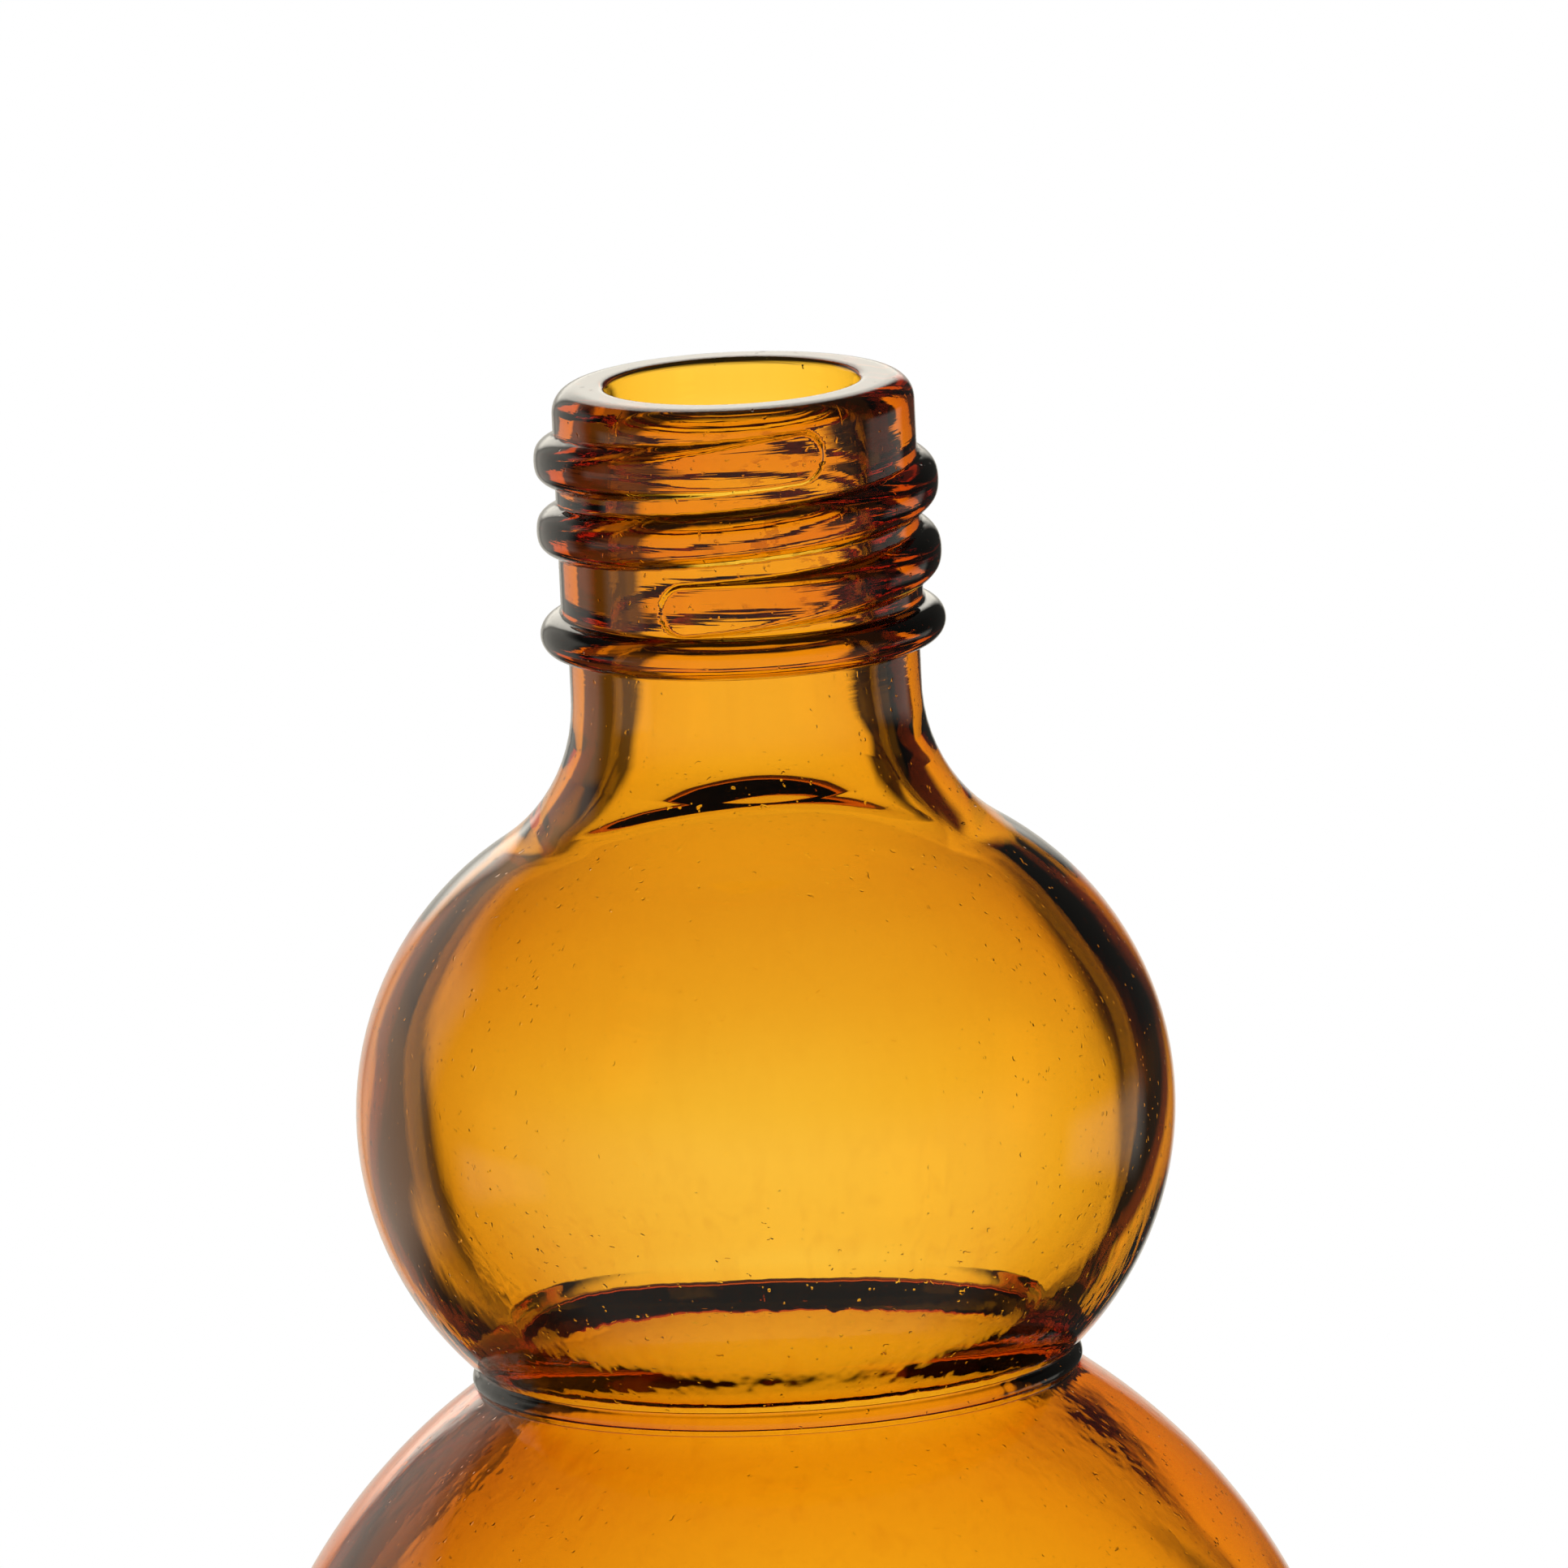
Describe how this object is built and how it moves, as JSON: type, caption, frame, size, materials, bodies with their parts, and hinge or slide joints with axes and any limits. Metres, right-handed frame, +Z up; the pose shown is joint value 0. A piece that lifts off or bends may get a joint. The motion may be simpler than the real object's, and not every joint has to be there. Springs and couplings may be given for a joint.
{
  "type": "glass bottle",
  "caption": "Amber glass double-gourd bottle with a round lip, a screw-thread neck, a transfer bead and a collar round the waist.",
  "frame": {"origin": "centre of the standing circle, on the surface the bottle stands on", "axes": "+Z up along the bottle's axis towards the lip, +X to the right and -Y towards the viewer, with the thread's upper end at the front"},
  "size_m": [0.0502, 0.0502, 0.0864],
  "materials": {
    "amber_glass": "polished"
  },
  "bodies": {
    "root": {"bottle": "amber_glass"}
  },
  "joints": []
}
